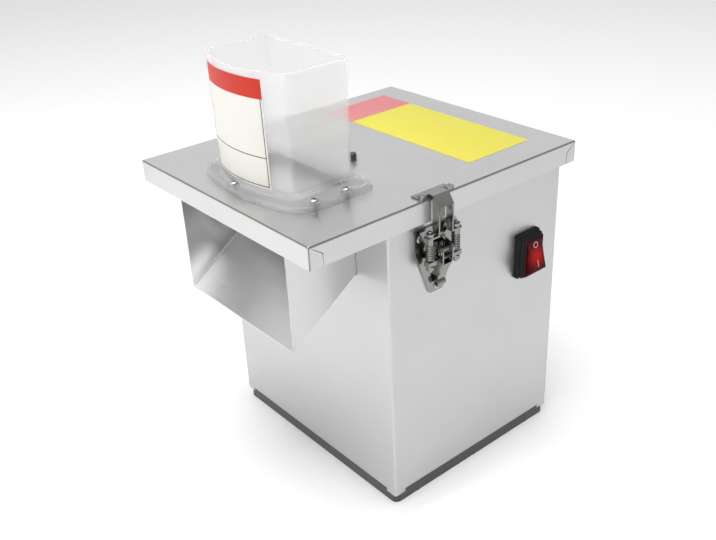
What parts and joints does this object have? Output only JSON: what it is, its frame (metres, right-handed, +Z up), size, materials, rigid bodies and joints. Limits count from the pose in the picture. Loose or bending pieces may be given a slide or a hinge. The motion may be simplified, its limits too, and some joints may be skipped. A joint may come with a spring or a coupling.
{
  "type": "vegetable cutting machine",
  "caption": "Belt-driven vegetable dicer: folded steel body, hinged lid with clear hopper, slicing disc over a dicing grid, front chute, toggle latch and rocker switch.",
  "frame": {"origin": "centre of the underside of the base pad, which is also the middle of the body's footprint", "axes": "+Z up; -Y towards the chute at the front; +X towards the side with the latch and the switch"},
  "size_m": [0.2697, 0.305, 0.402],
  "materials": {
    "stainless_sheet": "satin stainless sheet",
    "pad_plastic": "moulded dark grey plastic",
    "clear_plastic": "clear moulded polycarbonate",
    "fixing_steel": "stainless fixings",
    "latch_steel": "bright pressed steel",
    "blade_steel": "ground stainless blades",
    "cast_aluminium": "cast and turned aluminium",
    "bearing_steel": "ground bearing steel",
    "belt_rubber": "moulded rubber belt",
    "black_plastic": "moulded black plastic",
    "rocker_red": "translucent dark red plastic",
    "terminal_brass": "tinned brass tabs",
    "bracket_steel": "grey painted steel",
    "motor_core": "varnished steel laminations",
    "capacitor_case": "pale moulded case",
    "blackened_steel": "blackened steel"
  },
  "bodies": {
    "root": {"base_pad": "pad_plastic", "base_plate": "stainless_sheet", "base_screws": "fixing_steel", "housing_shell": "stainless_sheet", "rear_panel": "stainless_sheet", "rear_screws": "fixing_steel", "cable_gland": "black_plastic", "gland_nut": "fixing_steel", "discharge_chute": "stainless_sheet", "chute_bolts": "fixing_steel", "cutting_pan": "stainless_sheet", "pan_screws": "fixing_steel", "grid_frame": "cast_aluminium", "grid_blades_across": "blade_steel", "grid_blades_along": "blade_steel", "grid_clamp_bolts": "fixing_steel", "grid_wing_nuts": "fixing_steel", "bearing_housing": "cast_aluminium", "bearing_outer_rings": "bearing_steel", "drive_belt": "belt_rubber", "motor_bracket": "bracket_steel", "motor_bolts": "fixing_steel", "motor_stator": "motor_core", "motor_upper_cap": "cast_aluminium", "motor_lower_cap": "cast_aluminium", "capacitor": "capacitor_case", "capacitor_clip": "stainless_sheet", "hinge_body_leaves": "stainless_sheet", "hinge_pins": "fixing_steel", "body_rivets": "fixing_steel", "latch_base": "latch_steel", "latch_pivot_pin": "latch_steel", "switch_bezel": "black_plastic", "switch_case": "black_plastic", "switch_terminals": "terminal_brass"},
    "cutter": {"slicing_disc": "blade_steel", "slicing_blade": "blade_steel", "blade_screws": "fixing_steel", "cutter_shaft": "blade_steel", "hub_nut": "fixing_steel", "bearing_inner_rings": "bearing_steel", "cutter_pulley": "cast_aluminium"},
    "motor_rotor": {"motor_rotor": "motor_core", "motor_fan": "black_plastic", "motor_pulley": "cast_aluminium"},
    "lid": {"lid_panel": "stainless_sheet", "hopper": "clear_plastic", "hopper_screws": "fixing_steel", "lid_stud": "blackened_steel", "lid_stud_nut": "fixing_steel", "hinge_lid_leaves": "stainless_sheet", "lid_rivets": "fixing_steel", "strike_plate": "latch_steel"},
    "latch_lever": {"latch_lever": "latch_steel"},
    "latch_claw": {"latch_crossbar": "latch_steel", "latch_claw": "latch_steel", "latch_rods": "latch_steel", "latch_nuts": "latch_steel", "latch_springs": "latch_steel"},
    "switch_rocker": {"switch_rocker": "rocker_red"}
  },
  "joints": [
    {"name": "lid_hinge", "type": "hinge", "parent": "root", "child": "lid", "pos_m": [-0.1284, -0.015, 0.2735], "axis": [0, -1, 0], "range_deg": [0, 105]},
    {"name": "latch_lever_hinge", "type": "hinge", "parent": "root", "child": "latch_lever", "pos_m": [0.1315, -0.0545, 0.251], "axis": [0, -1, 0], "range_deg": [0, 130]},
    {"name": "latch_claw_hinge", "type": "hinge", "parent": "latch_lever", "child": "latch_claw", "pos_m": [0.13, -0.0545, 0.24304], "axis": [0, -1, 0], "range_deg": [-162.5, 0]},
    {"name": "cutter_spin", "type": "hinge", "parent": "root", "child": "cutter", "pos_m": [0, -0.0445, 0.2], "axis": [0, 0, 1], "continuous": true},
    {"name": "motor_spin", "type": "hinge", "parent": "root", "child": "motor_rotor", "pos_m": [0, 0.042, 0.15], "axis": [0, 0, 1], "continuous": true},
    {"name": "rocker_tilt", "type": "hinge", "parent": "root", "child": "switch_rocker", "pos_m": [0.124, 0.0614, 0.2026], "axis": [0, 1, 0], "range_deg": [0, 26]}
  ],
  "couplings": [
    {"joint": "latch_claw_hinge", "follows": "latch_lever_hinge", "ratio": -1.25},
    {"joint": "motor_spin", "follows": "cutter_spin", "ratio": 2.5}
  ]
}
